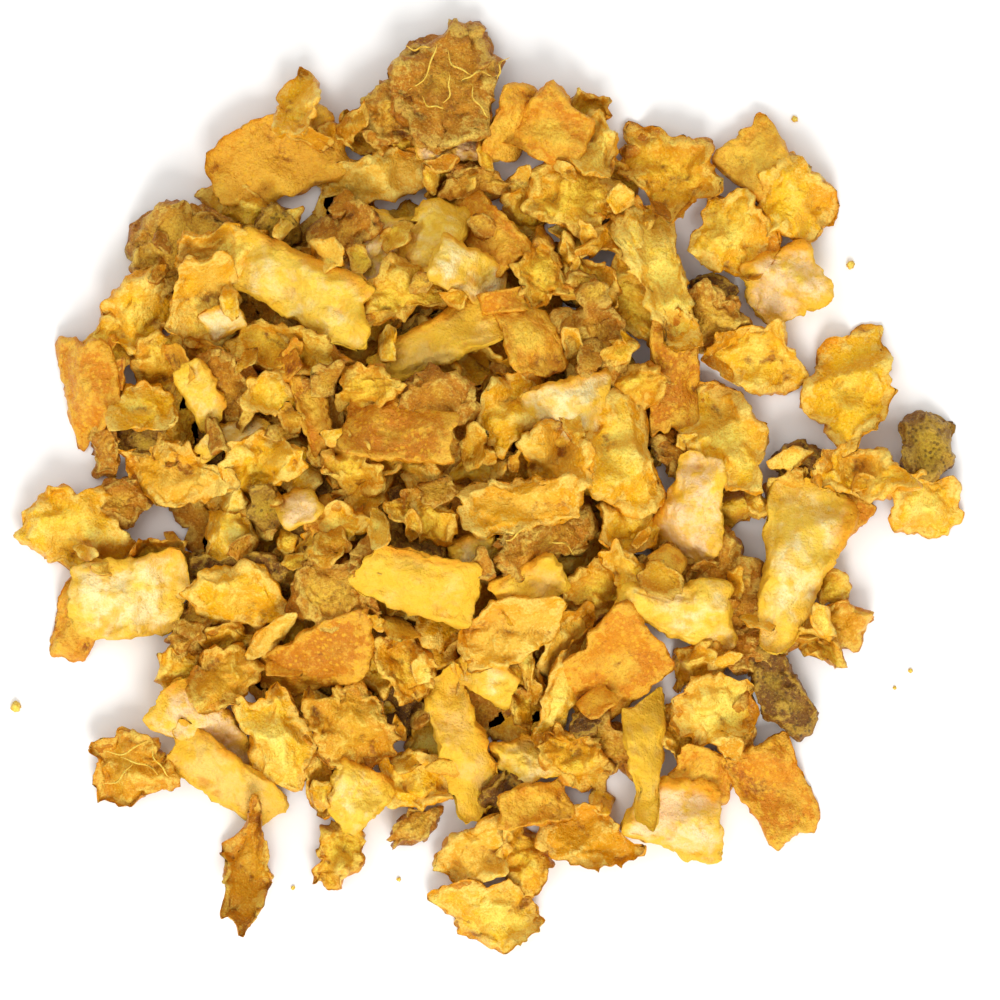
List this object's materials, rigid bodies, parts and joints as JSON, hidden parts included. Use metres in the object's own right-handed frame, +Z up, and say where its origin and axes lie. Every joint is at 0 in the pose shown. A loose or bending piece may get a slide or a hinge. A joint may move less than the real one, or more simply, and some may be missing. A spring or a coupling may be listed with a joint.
{
  "type": "heap of dried orange peel",
  "caption": "Low loose heap of dried cut orange peel for tea: chips of rind, pith, amber peel flesh and brown pulp, lying on a flat foot.",
  "frame": {"origin": "middle of the heap's outline, on the surface that it lies on", "axes": "+Z up, +X to the right and +Y to the top of a view from straight above"},
  "size_m": [0.0666, 0.0648, 0.0102],
  "materials": {
    "dried_peel": "dry and leathery, with waxy facets and a matt cream pith"
  },
  "bodies": {
    "root": {"peel_heap": "dried_peel"}
  },
  "joints": []
}
